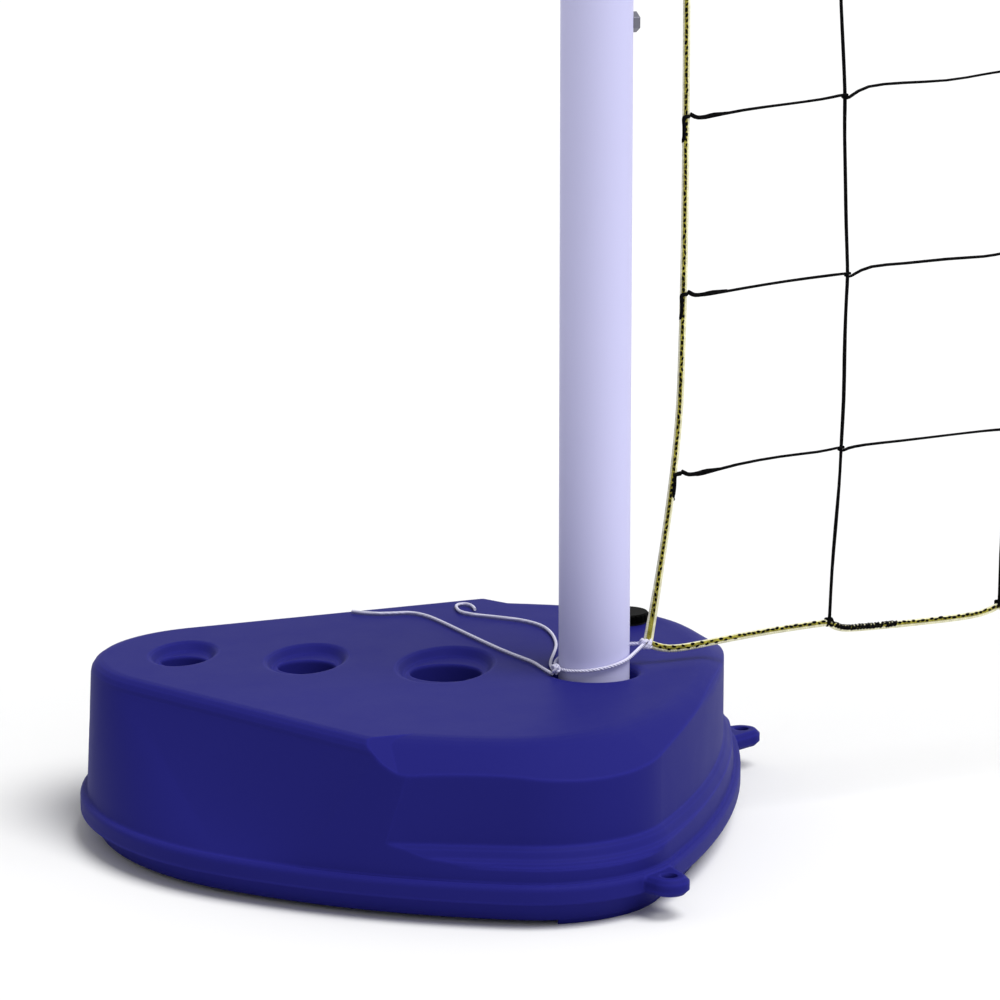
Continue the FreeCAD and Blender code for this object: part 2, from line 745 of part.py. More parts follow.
def bottom_tape():
    half = edge_tape_width / 2
    reach = pole_x - edge_point(0) - half
    return Part.makeBox(2 * reach, edge_tape_thickness, edge_tape_width,
                        V(-reach, -edge_tape_thickness / 2, net_foot - half))


def head_tape():
    """Wider tape along the head, folded round the head cord."""
    reach = pole_x - edge_point(mesh_rows) + edge_tape_width / 2
    band = Part.makeBox(2 * reach, head_tape_thickness, head_cord_z - head_tape_bottom,
                        V(-reach, -head_tape_thickness / 2, head_tape_bottom))
    fold = Part.makeCylinder(head_cord / 2 + head_cord_cover, 2 * reach, V(-reach, 0, head_cord_z), V(1, 0, 0))
    bore = Part.makeCylinder(head_cord / 2 + plug_clearance, 2 * reach, V(-reach, 0, head_cord_z), V(1, 0, 0))
    return band.fuse(fold).cut(bore)


def eye_outer():
    return pole_radius + eye_wire + 2 * eye_ring_radius + 1


def head_cord_piece():
    reach = pole_x - eye_outer()
    return Part.makeCylinder(head_cord / 2, 2 * reach, V(-reach, 0, head_cord_z), V(1, 0, 0))


def head_knot():
    """Wraps of the head cord where it is tied off at the eye."""
    x = eye_outer() + 0.5
    return revolved_x([(head_cord / 2 + plug_clearance, x), (head_cord, x + 1), (head_cord, x + 8),
                       (head_cord / 2 + plug_clearance, x + 9)], head_cord_z)


def revolved_x(points, z):
    ring = Part.makePolygon([V(x, 0, z + r) for r, x in points] + [V(points[0][1], 0, z + points[0][0])])
    return Part.Face(ring).revolve(V(0, 0, z), V(1, 0, 0), 360)


def in_base_frame(shape):
    """Turn a piece of the left base to the base's heading."""
    return shape.rotated(V(0, 0, 0), UP, base_turn_deg)


def base_place(along, aside):
    c, s = math.cos(base_turn), math.sin(base_turn)
    return V(along * c - aside * s, along * s + aside * c, 0)


def left_pieces():
    """Every piece of the left end, about its own pole axis."""
    cap_at = base_place(cap_along, cap_aside)
    string_z = tank_height + string_gap + string / 2
    knot_r = pole_radius + loop_gap + string + plug_clearance + loop_knot / 2
    knot_at = polar(knot_r, knot_turn_deg) + V(0, 0, tank_height + string_gap + string + loop_knot * knot_flatness / 2)
    return {
        "base_tank": [in_base_frame(base_tank())],
        "cap_seal": [cap_seal().translated(cap_at)],
        "filler_cap": [filler_cap().translated(cap_at)],
        "pole_lower": [pole_lower()],
        "pole_upper": [pole_upper()],
        "pole_sleeve": [pole_sleeve()],
        "pole_bolts": pole_bolts(),
        "pole_nuts": pole_nuts(),
        "foot_plug": [foot_plug()],
        "top_cap": [top_cap()],
        "eye_bolt": [eye_bolt()],
        "eye_nut": [eye_nut()],
        "tie_loop": [tie_loop()],
        "corner_knot": [corner_knot_piece()],
        "tie_knot": [ball_knot(loop_knot, knot_at)],
        "tie_tail_long": [limp_tube(tail_b, string_z, string)],
        "tie_tail_short": [limp_tube(tail_a, string_z, string)],
        "head_knot": [head_knot()],
        "side_tape": [side_tape().translated(LEFT_END * -1)],
    }


def main():
    os.makedirs("parts", exist_ok=True)
    nodes = {}
    for name, solids in left_pieces().items():
        placed = [s.translated(LEFT_END) for s in solids]
        nodes[name + "_left"] = placed
        nodes[name + "_right"] = [s.rotated(V(0, 0, 0), UP, 180) for s in placed]
    nodes["net_mesh"] = [net_mesh()]
    nodes["bottom_tape"] = [bottom_tape()]
    nodes["head_tape"] = [head_tape()]
    nodes["head_cord"] = [head_cord_piece()]
    for name, solids in nodes.items():
        shape = solids[0] if len(solids) == 1 else Part.makeCompound(solids)
        shape.exportStep("parts/%s.step" % name)
        print(name, len(shape.Solids), round(shape.Volume), shape.isValid())


main()
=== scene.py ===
import math
import random

import bmesh
import bpy
from bpy.props import FloatProperty, FloatVectorProperty, IntProperty, PointerProperty
from mathutils import Matrix, Vector


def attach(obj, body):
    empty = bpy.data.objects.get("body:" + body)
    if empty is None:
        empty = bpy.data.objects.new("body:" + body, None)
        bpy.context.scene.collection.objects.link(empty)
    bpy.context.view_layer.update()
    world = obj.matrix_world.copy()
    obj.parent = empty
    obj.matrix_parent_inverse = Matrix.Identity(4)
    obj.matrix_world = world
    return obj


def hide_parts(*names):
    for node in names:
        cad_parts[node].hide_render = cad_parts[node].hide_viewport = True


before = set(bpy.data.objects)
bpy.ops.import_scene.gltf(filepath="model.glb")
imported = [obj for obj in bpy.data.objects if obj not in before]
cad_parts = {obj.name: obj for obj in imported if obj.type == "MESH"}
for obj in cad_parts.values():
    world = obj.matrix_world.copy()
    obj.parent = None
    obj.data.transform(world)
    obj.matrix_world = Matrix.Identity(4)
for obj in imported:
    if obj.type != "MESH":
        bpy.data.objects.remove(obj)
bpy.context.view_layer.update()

bl_info = {
    "name": "Volleyball net on poles",
    "version": (1, 0, 0),
    "blender": (4, 5, 0),
    "location": "View3D > Sidebar > Volleyball net",
    "description": "Net, border, ties and finishes for a freestanding volleyball net with two moulded bases",
    "category": "Object",
}

# All lengths are in metres. X runs along the net, Y away from the viewer, Z up.

# Places that the net shares with the frame
POLE_X = 1.7324
POLE_RADIUS = 0.020
DECK = 0.094
NET_FOOT = 0.1065
PITCH = 0.1016
COLUMNS = 33
ROWS = 9
HEAD_CORD_Z = 1.0454
HEAD_TAPE_LOW = 1.0184
EYE_OUTER = 0.0375

# Ties: the string loop's gap to the pole and lift off the deck, the place of its knot, and the lay lengths
LOOP_GAP = 0.001
LOOP_LIFT = 0.0025
KNOT_TURN = math.radians(189.0)
KNOT_OUT = 0.00305
KNOT_LIFT = 0.0047
STRING_LAY = 0.006
CORD_LAY = 0.016

# Windings of the knots: size, turns, waves and flatness
CORNER_KNOT = ((0.009, 2, 5, 0.8), (0.0082, 3, 4, 1.0))
POLE_KNOT = (0.0058, 2, 3, 1.0)
FOOT_KNOT = (0.0062, 2, 3, 1.1)

# Routes of the loose string ends on the left deck, from the pole axis, and their lengths, as in the frame
LONG_TAIL = ((-0.0270, -0.0026), (-0.0265, 0.0120), (-0.0250, 0.0270), (-0.0275, 0.0430), (-0.0295, 0.0600),
             (-0.0308, 0.0800), (-0.0317, 0.1010), (-0.0325, 0.1220), (-0.0333, 0.1420), (-0.0348, 0.1580),
             (-0.0400, 0.1700), (-0.0520, 0.1720), (-0.0635, 0.1765), (-0.0710, 0.1865))
SHORT_TAIL = ((-0.0244, -0.0024), (-0.0218, 0.0110), (-0.0155, 0.0250), (-0.0055, 0.0420), (0.0030, 0.0570),
              (0.0095, 0.0730), (0.0145, 0.0900), (0.0170, 0.1070), (0.0125, 0.1240), (0.0030, 0.1360),
              (-0.0080, 0.1480), (-0.0130, 0.1580), (-0.0115, 0.1680), (-0.0080, 0.1770), (-0.0015, 0.1780),
              (0.0005, 0.1705), (-0.0025, 0.1610))
TAILS = (("tie_tail_long", LONG_TAIL, 0.2098), ("tie_tail_short", SHORT_TAIL, 0.2198))
TAIL_LIFT = 0.0005

# Border and first two columns, row by row from the foot: distance from the pole axis, height, and how far
# a knot stands above the even grid
EDGE_X = (0.0335, 0.0515, 0.0545, 0.055, 0.0545, 0.054, 0.054, 0.0545, 0.055, 0.056)
EDGE_Z = (0.1065, 0.203, 0.3050, 0.4045, 0.5100, 0.6120, 0.7145, 0.8165, 0.9185, 1.0184)
FIRST_COLUMN_X = (0.1495, 0.1555, 0.158, 0.1545, 0.149, 0.151, 0.154, 0.157, 0.158, 0.1576)
SECOND_COLUMN_X = (0.262, 0.2640, 0.2620, 0.2590, 0.257, 0.258, 0.260, 0.261, 0.2605, 0.2592)
FIRST_COLUMN_RISE = (0.0, 0.0013, 0.0, 0.0, 0.0008, 0.001, 0.001, 0.001, 0.0005, 0.0)
SECOND_COLUMN_RISE = (0.0, 0.0036, 0.0055, 0.0088, 0.0080, 0.0065, 0.005, 0.0035, 0.002, 0.0)
FOOT_KNOT_RISE = 0.001

# How far the other knots stray along and up
GRID_WANDER_X = 0.003
GRID_WANDER_Z = 0.002

# A row's hitch round a column, in turns from the crossing, and its dip just inside the border
HITCH = ((-1.5, -0.7, 0.25), (-0.2, -1.1, 0.3), (0.8, 0.0, 0.15), (0.0, 1.1, -0.1), (-0.9, 0.0, -0.3),
         (0.1, -1.1, -0.55), (1.2, -0.7, -0.05))
HITCH_TURN = 1.15
ROW_DIP = ((0.0018, -0.0010, 0.0008), (0.0038, -0.0006, -0.0004), (0.0066, 0.0, -0.0017),
           (0.0115, 0.0, -0.0015))

# How a row strays up or down at four shares of a bay, in slacks; the second bay goes by row
BAY_SHARES = (0.13, 0.36, 0.63, 0.87)
BAY_LEAN = (0.35, 0.7, 0.2, -0.2)
FIRST_BAY_LEAN = (-1.9, -0.9, 0.3, 0.2)
SECOND_BAY_LEAN = {1: (0.35, 0.1, 0.75, 0.6), 2: (2.7, 1.4, 0.85, -0.2), 3: (3.1, 2.1, 0.0, 0.5)}
BAY_LOOSE = 0.8
SECOND_BAY_LOOSE = 0.2

# A row's end worked back into the first bay: share of the bay and lift; and how loose a column hangs at
# shares of a mesh
ROW_TAIL = ((0.17, -0.0006), (0.22, -0.0010), (0.26, -0.0011))
COLUMN_LOOSE = ((0.04, 0.15), (0.3, 1.0), (0.55, 1.0), (0.8, 1.0), (0.96, 0.15))
COLUMN_SLACK = 0.6

# Uneven twine: range of a row's thickness, and how much thicker the columns are
ROW_THICKNESS = (0.70, 0.94)
COLUMN_EXTRA = 1.2

# How deep the foot border sags at six shares of a bay; the first bay sags towards the tied corner
SAG_SHARES = (0.05, 0.15, 0.40, 0.65, 0.86, 0.96)
SAGS = (0.75, 0.95, 1.0, 1.0, 0.9, 0.45)
FIRST_SAGS = (0.48, 0.87, 0.48, 0.17, 0.04, 0.0)
SAG_DEPTH = (0.0048, 0.0066)
BAY_POINTS = len(SAG_SHARES) + 1

# Borders: step of the swept tape, reach of the widening at a tied corner, strip and stitches
TAPE_STEP = 0.004
TAPE_CORNER = 0.045
STRIP_CORNER = 0.06
STITCH_CORNER = 0.055
STRIP_LANE = 0.17
STRIP_THICKNESS = 0.29
STITCH = 0.0018
STITCH_HALF = 0.0010
REAR_STITCH_DROP = 0.22
BEAD_MIDDLE = (0.95, 1.3)
BEAD_END = (0.35, 0.7)
HITCH_TUCK = 0.0145

# Lashing: step along the bay, steps left free after the knot, range of its steps, and the short one after it
LASH_STEP = 0.001
LASH_GAP = 3
LASH_STEPS = (26, 34)
SHORT_LASH_STEPS = 8
SHORT_LASH_TURNS = 4

# Head: step and reach of the band past the border, its seams, and the hitch of the cord at the eye
BAND_STEP = 0.012
BAND_EXTRA = 0.0025
FOLD_RADIUS = 0.0031
SEAM_THREAD = 0.0006
SEAM_START = 0.004
SEAM_PITCH = 0.0045
SEAM_HALF = 0.0014
SEAM_DEPTHS = (0.006, HEAD_CORD_Z - HEAD_TAPE_LOW - 0.003)
SEAM_OUT = 0.0010
SEAM_RISE = 0.0003
BIGHT = ((0.048, 0.0012), (0.043, 0.0040), (0.0385, 0.0046), (0.0335, 0.0030), (0.0325, 0.0),
         (0.0335, -0.0030), (0.0385, -0.0046), (0.043, -0.0040), (0.048, -0.0012))
TURNS_START = 0.0400
TURNS_RUN = 0.0085
TURNS_RADIUS = 0.0033

# Material of each hard node
HARD_LOOKS = {
    "base_tank": "Blue moulded plastic", "filler_cap": "Black plastic", "cap_seal": "Seal rubber",
    "pole_lower": "Pole powder coat", "pole_upper": "Pole powder coat", "pole_sleeve": "Zinc plate",
    "pole_bolts": "Zinc plate", "pole_nuts": "Zinc plate", "foot_plug": "Black plastic",
    "top_cap": "Black plastic", "eye_bolt": "Zinc plate", "eye_nut": "Zinc plate",
}

# How fast a moulded edge takes on its painted highlight
EDGE_HIGHLIGHT_GAIN = 22.0

# Stage: floor, world, and lamps by name, heading, height, strength and apparent size in degrees
FLOOR_SIZE = 40.0
FLOOR_GREY = 0.86
SOFT_LIGHT = 0.42
LAMPS = (("key", -56.0, 62.0, 2.75, 40.0),
         ("fill", -150.0, 35.0, 0.06, 60.0),
         ("side", 5.0, 25.0, 0.25, 60.0))

# Camera: turn of the net's line, look down, and metres to a pixel at the pole; then the pole's foot from
# the middle of the picture and the camera's distance, in those pixels; lens and sensor in millimetres
NET_TURN = math.radians(24.0)
LOOK_DOWN = math.radians(11.68)
PER_PIXEL = 0.000563
FOOT_RIGHT = 94.0
FOOT_DOWN = 170.5
DISTANCE = 4500.0
LENS = 162.0
SENSOR = 36.0


def length_property(name, description, default, low, high):
    return FloatProperty(name=name, description=description, default=default, min=low, max=high,
                         unit="LENGTH")


def colour_property(name, description, default):
    return FloatVectorProperty(name=name, description=description, subtype="COLOR", size=3,
                               default=default, min=0.0, max=1.0)


class NetSizes(bpy.types.PropertyGroup):
    """Sizes of twine, border and string"""
    twine: length_property("Twine", "Diameter of the net's black twine", 0.0021, 0.001, 0.004)
    slack: length_property("Slack", "How far the twine strays between two knots", 0.0012, 0.0, 0.004)
    stitch_pitch: length_property("Stitch pitch", "Distance between two stitches of the border",
                                  0.0030, 0.002, 0.01)
    border_width: length_property("Border width", "Width of the border tape", 0.0046, 0.003, 0.01)
    string: length_property("String", "Diameter of the white tie string", 0.0018, 0.001, 0.004)
    head_cord: length_property("Head cord", "Diameter of the cord in the head tape", 0.004, 0.002, 0.006)
    lash_turns: IntProperty(name="Lashing turns", default=15, min=2, max=24,
                            description="Turns of twine beside each column's foot knot")


class NetColours(bpy.types.PropertyGroup):
    """Colours that the finishes are made from"""
    base: colour_property("Base plastic", "Moulded bases", (0.0150, 0.0150, 0.158))
    # The lavender tint of the pole's white paint is painted reflected light
    pole: colour_property("Pole paint", "Powder coat of the tube poles", (0.575, 0.57, 0.835))
    border: colour_property("Border", "Border and head tape", (0.85, 0.825, 0.56))
    olive: colour_property("Border strip", "Olive strip along the border", (0.40, 0.36, 0.055))
    # The blue tint of the white string is a painted colour cast of the light
    string: colour_property("String", "White tie string and head cord", (0.74, 0.73, 0.90))
    twine: colour_property("Twine", "Net twine and stitches", (0.003, 0.003, 0.0035))


def sizes():
    """The sizes set in the panel."""
    return bpy.context.scene.net_sizes


def colours():
    """The colours set in the panel."""
    return bpy.context.scene.net_colours


def at_end(end, x, y, z):
    """A point given from the left pole's axis; the right end is the left one turned half round."""
    place = Vector((x - POLE_X, y, z))
    return place if end == "left" else Vector((-place.x, -place.y, place.z))


# Materials

def new_group(name, inputs, outputs):
    """A shader group with its sockets, its input node and its output node."""
    group = bpy.data.node_groups.new(name, "ShaderNodeTree")
    for label, kind, default in inputs:
        socket = group.interface.new_socket(name=label, in_out="INPUT", socket_type=kind)
        socket.default_value = default
    for label, kind in outputs:
        group.interface.new_socket(name=label, in_out="OUTPUT", socket_type=kind)
    return group, group.nodes.new("NodeGroupInput"), group.nodes.new("NodeGroupOutput")


def link(tree, source, target):
    tree.links.new(source, target)


def noise(tree, vector, scale, detail=3.0, roughness=0.5):
    """A Noise Texture node's value, 0 to 1."""
    node = tree.nodes.new("ShaderNodeTexNoise")
    node.inputs["Scale"].default_value = scale
    node.inputs["Detail"].default_value = detail
    node.inputs["Roughness"].default_value = roughness
    link(tree, vector, node.inputs["Vector"])
    return node.outputs["Fac"]


def maths(tree, operation, a, b):
    """A Math node on two values, each a number or a socket."""
    node = tree.nodes.new("ShaderNodeMath")
    node.operation = operation
    for socket, value in zip(node.inputs, (a, b)):
        if isinstance(value, (int, float)):
            socket.default_value = value
        else:
            link(tree, value, socket)
    return node.outputs[0]


def shade(tree, colour, factor):
    """Multiply a colour by a grey value."""
    node = tree.nodes.new("ShaderNodeMix")
    node.data_type = "RGBA"
    node.blend_type = "MULTIPLY"
    node.inputs["Factor"].default_value = 1.0
    link(tree, colour, node.inputs["A"])
    combine = tree.nodes.new("ShaderNodeCombineColor")
    for socket in combine.inputs:
        link(tree, factor, socket)
    link(tree, combine.outputs["Color"], node.inputs["B"])
    return node.outputs["Result"]


def moulded_surface():
    """Pebbled, slightly mottled skin of moulded plastic or baked paint, with a painted highlight that lightens
    its edges.
    """
    group, start, end = new_group("Moulded surface", [
        ("Colour", "NodeSocketColor", (0.5, 0.5, 0.5, 1)), ("Pebble scale", "NodeSocketFloat", 500.0),
        ("Mottle", "NodeSocketFloat", 0.08), ("Gloss low", "NodeSocketFloat", 0.4),
        ("Gloss high", "NodeSocketFloat", 0.5), ("Edge rub", "NodeSocketFloat", 0.0),
        ("Soft normal", "NodeSocketVector", (0.0, 0.0, 0.0))],
        [("Colour", "NodeSocketColor"), ("Roughness", "NodeSocketFloat"), ("Height", "NodeSocketFloat")])
    where = group.nodes.new("ShaderNodeTexCoord").outputs["Object"]
    pebble = group.nodes.new("ShaderNodeTexNoise")
    link(group, where, pebble.inputs["Vector"])
    link(group, start.outputs["Pebble scale"], pebble.inputs["Scale"])
    pebble.inputs["Detail"].default_value = 2.0
    cloud = noise(group, where, scale=9.0, detail=4.0, roughness=0.55)
    offset = maths(group, "SUBTRACT", cloud, 0.5)
    mottle = maths(group, "MULTIPLY", offset, start.outputs["Mottle"])
    factor = maths(group, "ADD", maths(group, "MULTIPLY", mottle, 2.0), 1.0)
    turned = group.nodes.new("ShaderNodeVectorMath")
    turned.operation = "DOT_PRODUCT"
    link(group, group.nodes.new("ShaderNodeNewGeometry").outputs["Normal"], turned.inputs[0])
    link(group, start.outputs["Soft normal"], turned.inputs[1])
    # Painted highlight: the colour is lightened where the softened normal parts from the true one, along convex
    # and concave edges alike
    edge = maths(group, "MULTIPLY", maths(group, "SUBTRACT", 1.0, turned.outputs["Value"]), EDGE_HIGHLIGHT_GAIN)
    edge = maths(group, "MULTIPLY", maths(group, "MINIMUM", edge, 1.0), start.outputs["Edge rub"])
    factor = maths(group, "ADD", factor, edge)
    link(group, shade(group, start.outputs["Colour"], factor), end.inputs["Colour"])
    smear = noise(group, where, scale=35.0, detail=5.0, roughness=0.6)
    rough = group.nodes.new("ShaderNodeMapRange")
    link(group, smear, rough.inputs["Value"])
    link(group, start.outputs["Gloss low"], rough.inputs["To Min"])
    link(group, start.outputs["Gloss high"], rough.inputs["To Max"])
    link(group, rough.outputs["Result"], end.inputs["Roughness"])
    link(group, pebble.outputs["Fac"], end.inputs["Height"])


def twisted_lay():
    """Slanting plies of a twisted twine or string, with loose fibre between them, painted shade darkening the
    grooves between the plies, and darker patches.
    """
    group, start, end = new_group("Twisted lay", [
        ("Colour", "NodeSocketColor", (0.5, 0.5, 0.5, 1)), ("Ply scale", "NodeSocketFloat", 140.0),
        ("Groove", "NodeSocketFloat", 0.45), ("Patches", "NodeSocketFloat", 0.0)],
        [("Colour", "NodeSocketColor"), ("Height", "NodeSocketFloat")])
    where = group.nodes.new("ShaderNodeTexCoord").outputs["Object"]
    wave = group.nodes.new("ShaderNodeTexWave")
    wave.bands_direction = "DIAGONAL"
    link(group, where, wave.inputs["Vector"])
    link(group, start.outputs["Ply scale"], wave.inputs["Scale"])
    wave.inputs["Distortion"].default_value = 0.6
    fibre = noise(group, where, scale=2600.0, detail=2.0)
    height = maths(group, "ADD", wave.outputs["Fac"], maths(group, "MULTIPLY", fibre, 0.35))
    # Painted shade: the colour is darkened in the grooves between the plies, as much as Groove asks
    low = maths(group, "SUBTRACT", 1.0, wave.outputs["Fac"])
    drop = maths(group, "MULTIPLY", low, start.outputs["Groove"])
    patch = maths(group, "SUBTRACT", noise(group, where, scale=330.0, detail=3.0, roughness=0.6), 0.5)
    patch = maths(group, "MULTIPLY", maths(group, "MULTIPLY", patch, 4.0), start.outputs["Patches"])
    factor = maths(group, "ADD", maths(group, "SUBTRACT", 1.0, drop), patch)
    link(group, shade(group, start.outputs["Colour"], factor), end.inputs["Colour"])
    link(group, height, end.inputs["Height"])


def finish(name, colour, group_name, bump_mm, roughness=0.5, metallic=0.0, specular=0.5, soft_edge_mm=0.0,
           **values):
    """A material: one Principled shader fed by one of the shared surface groups, set by its inputs' names."""
    material = bpy.data.materials.new(name)
    material.use_nodes = True
    tree = material.node_tree
    shader = tree.nodes["Principled BSDF"]
    shader.inputs["Roughness"].default_value = roughness
    shader.inputs["Metallic"].default_value = metallic
    shader.inputs["Specular IOR Level"].default_value = specular
    node = tree.nodes.new("ShaderNodeGroup")
    node.node_tree = bpy.data.node_groups[group_name]
    node.inputs["Colour"].default_value = (*colour, 1.0)
    for label, value in values.items():
        node.inputs[label.replace("_", " ")].default_value = value
    link(tree, node.outputs["Colour"], shader.inputs["Base Color"])
    if "Roughness" in node.outputs:
        link(tree, node.outputs["Roughness"], shader.inputs["Roughness"])
    bump = tree.nodes.new("ShaderNodeBump")
    bump.inputs["Distance"].default_value = bump_mm / 1000
    bump.inputs["Strength"].default_value = 1.0
    link(tree, node.outputs["Height"], bump.inputs["Height"])
    if soft_edge_mm:
        bevel = tree.nodes.new("ShaderNodeBevel")
        bevel.samples = 6
        bevel.inputs["Radius"].default_value = soft_edge_mm / 1000
        link(tree, bevel.outputs["Normal"], bump.inputs["Normal"])
        link(tree, bevel.outputs["Normal"], node.inputs["Soft normal"])
    link(tree, bump.outputs["Normal"], shader.inputs["Normal"])


def paint(node, material):
    """Give a node of the frame a better material."""
    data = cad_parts[node].data
    data.materials.clear()
    data.materials.append(bpy.data.materials[material])


# Shapes

def add_object(name, data, body, material, slot, *nodes):
    """Put a finished piece on its body, in place of the frame's nodes that it stands for."""
    piece = bpy.data.objects.new(name, data)
    bpy.context.scene.collection.objects.link(piece)
    data.materials.append(bpy.data.materials[material])
    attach(piece, body)
    if nodes:
        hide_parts(*nodes)
    return piece


def strands(name, routes, diameter, sides=6, steps=3, closed=False, beads=False, uneven=()):
    """A curve with a round strand for each route.

    Beads are fat in the middle and thin at both ends; uneven gives the range of a strand's thickness.
    """
    wander = random.Random(len(routes))
    data = bpy.data.curves.new(name, "CURVE")
    data.dimensions = "3D"
    data.bevel_depth = diameter / 2
    data.bevel_resolution = max(0, sides // 2 - 2)
    data.resolution_u = steps
    data.use_fill_caps = True
    for route in routes:
        spline = data.splines.new("NURBS")
        spline.points.add(len(route) - 1)
        for k, (point, place) in enumerate(zip(spline.points, route)):
            point.co = (*place, 1.0)
            if beads:
                inner = 0 < k < len(route) - 1
                point.radius = wander.uniform(*(BEAD_MIDDLE if inner else BEAD_END))
            if uneven:
                point.radius = wander.uniform(*uneven)
        spline.order_u = 3
        spline.use_cyclic_u = closed
        spline.use_endpoint_u = not closed
    return data


def add_strands(name, routes, diameter, body, material, slot, *nodes, **shape):
    """One piece made of strands; shape is passed on to strands."""
    return add_object(name, strands(name, routes, diameter, **shape), body, material, slot, *nodes)


def along(route, step):
    """Evenly spaced places and directions along the smooth curve of a route."""
    data = strands("route", [route], 0.0, steps=8)
    holder = bpy.data.objects.new("route", data)
    bpy.context.scene.collection.objects.link(holder)
    bpy.context.view_layer.update()
    mesh = bpy.data.meshes.new_from_object(holder.evaluated_get(bpy.context.evaluated_depsgraph_get()))
    line = [v.co.copy() for v in mesh.vertices]
    bpy.data.objects.remove(holder)
    bpy.data.meshes.remove(mesh)
    found = []
    carry = step / 2
    for a, b in zip(line, line[1:]):
        run = (b - a).length
        while carry <= run:
            found.append((a.lerp(b, carry / run), (b - a).normalized()))
            carry += step
        carry -= run
    return found


def end_to_end(route, step):
    """The places of along(), with both ends of the route added."""
    found = along(route, step)
    return [(route[0], found[0][1])] + found + [(route[-1], found[-1][1])]


def across(direction):
    """The direction square to a border's line, in the plane of the net."""
    return Vector((-direction.z, 0.0, direction.x))


def breadth(place, route, reach, slim, full, full_ends):
    """Share of its width that a border has at a place: full at its tied ends, slim beyond their reach."""
    near = min((place - route[end]).length for end in full_ends)
    return slim + (full - slim) * max(0.0, 1.0 - near / reach)


def plies(route, diameter, lay, count=3):
    """Plies twisted round a route, so that together they make one string."""
    found = [[] for ply in range(count)]
    for k, (place, direction) in enumerate(end_to_end(route, lay / 8)):
        up = Vector((0.0, 0.0, 1.0)) if abs(direction.z) < 0.9 else Vector((0.0, 1.0, 0.0))
        side = direction.cross(up).normalized()
        other = direction.cross(side)
        for ply in range(count):
            angle = math.tau * (k / 8 + ply / count)
            found[ply].append(place + (side * math.cos(angle) + other * math.sin(angle)) * diameter * 0.26)
    return found


def wound(centre, size, turns, waves, flatness):
    """A closed winding that crosses over and under itself, as a pulled-tight knot does."""
    route = []
    count = 10 * waves
    for k in range(count):
        t = math.tau * k / count
        reach = size * (0.27 + 0.11 * math.cos(waves * t))
        route.append(centre + Vector((reach * math.cos(turns * t), reach * math.sin(turns * t),
                                      size * flatness * 0.30 * math.sin(waves * t))))
    return route


def swept(name, route, outline, step, sway=0.0, slim=1.0, full=1.0, full_ends=(0,)):
    """A closed outline, given as (across, out) pairs, swept along a route in the plane of the net."""
    bm = bmesh.new()
    stations = end_to_end(route, step)
    wander = random.Random(len(stations))

    def placed(k):
        place, direction = stations[k]
        side = across(direction)
        scale = breadth(place, route, TAPE_CORNER, slim, full, full_ends)
        return Matrix(((side.x * scale, 0, direction.x, place.x), (0, 1, 0, place.y),
                       (side.z * scale, 0, direction.z, place.z), (0, 0, 0, 1)))

    here = placed(0)
    ring = [bm.verts.new(here @ Vector((x, y, 0))) for x, y in outline]
    bm.faces.new(ring)
    edges = [bm.edges.get((p, q)) for p, q in zip(ring, ring[1:] + ring[:1])]
    for k in range(1, len(stations)):
        there = placed(k) @ Matrix.Rotation(wander.uniform(-sway, sway), 4, "Z")
        out = bmesh.ops.extrude_edge_only(bm, edges=edges)["geom"]
        verts = [g for g in out if isinstance(g, bmesh.types.BMVert)]
        fresh = set(verts)
        edges = [g for g in out if isinstance(g, bmesh.types.BMEdge) and set(g.verts) <= fresh]
        bmesh.ops.transform(bm, matrix=there @ here.inverted(), verts=verts)
        here = there
    bmesh.ops.contextual_create(bm, geom=edges)
    bmesh.ops.recalc_face_normals(bm, faces=bm.faces)
    for face in bm.faces:
        face.smooth = True
    data = bpy.data.meshes.new(name)
    bm.to_mesh(data)
    bm.free()
    return data


# Net

def knot(column, row):
    """Where a row crosses a column; the hung net wanders a little off its square grid."""
    if column in (0, COLUMNS):
        side = -1 if column == 0 else 1
        return Vector((side * (POLE_X - EDGE_X[row]), 0.0, EDGE_Z[row]))
    z = NET_FOOT + PITCH * row
    near = min(column, COLUMNS - column)
    side = -1 if column < COLUMNS / 2 else 1
    if near == 1:
        x = side * (POLE_X - FIRST_COLUMN_X[row])
        z += FIRST_COLUMN_RISE[row]
    elif near == 2:
        x = side * (POLE_X - SECOND_COLUMN_X[row])
        z += SECOND_COLUMN_RISE[row]
    else:
        wander = random.Random(column * 31 + row)
        x = -COLUMNS * PITCH / 2 + PITCH * column + wander.uniform(-GRID_WANDER_X, GRID_WANDER_X)
        z += wander.uniform(-GRID_WANDER_Z, GRID_WANDER_Z) if 0 < row < ROWS else 0.0
    if row == ROWS:
        z = HEAD_TAPE_LOW
    if row == 0:
        z += FOOT_KNOT_RISE
    return Vector((x, 0.0, z))


def row_start(row, way):
    """The dip of a row just inside the border, seen along the row from either end."""
    a = knot(0 if way == 1 else COLUMNS, row)
    return [a + Vector((way * x, y, z)) for x, y, z in ROW_DIP]


def row_route(row):
    """A row's twine from border to border, hitched once round every column."""
    wander = random.Random(100 + row)
    slack = sizes().slack
    turn = sizes().twine * HITCH_TURN
    route = []
    for column in range(COLUMNS):
        a, b = knot(column, row), knot(column + 1, row)
        lean, loose = BAY_LEAN, BAY_LOOSE
        if column == 0:
            route.append(a)
            route += row_start(row, 1)
            lean = FIRST_BAY_LEAN
        else:
            route += [a + Vector(p) * turn for p in HITCH]
        if column == 1 and row in SECOND_BAY_LEAN:
            lean, loose = SECOND_BAY_LEAN[row], SECOND_BAY_LOOSE
        if column == COLUMNS - 1:
            lean = FIRST_BAY_LEAN[::-1]
        for share, rise in zip(BAY_SHARES, lean):
            stray = Vector((0, wander.uniform(-1, 1), rise + wander.uniform(-loose, loose))) * slack
            route.append(a.lerp(b, share) + stray)
    route += reversed(row_start(row, -1))
    route.append(knot(COLUMNS, row))
    return route


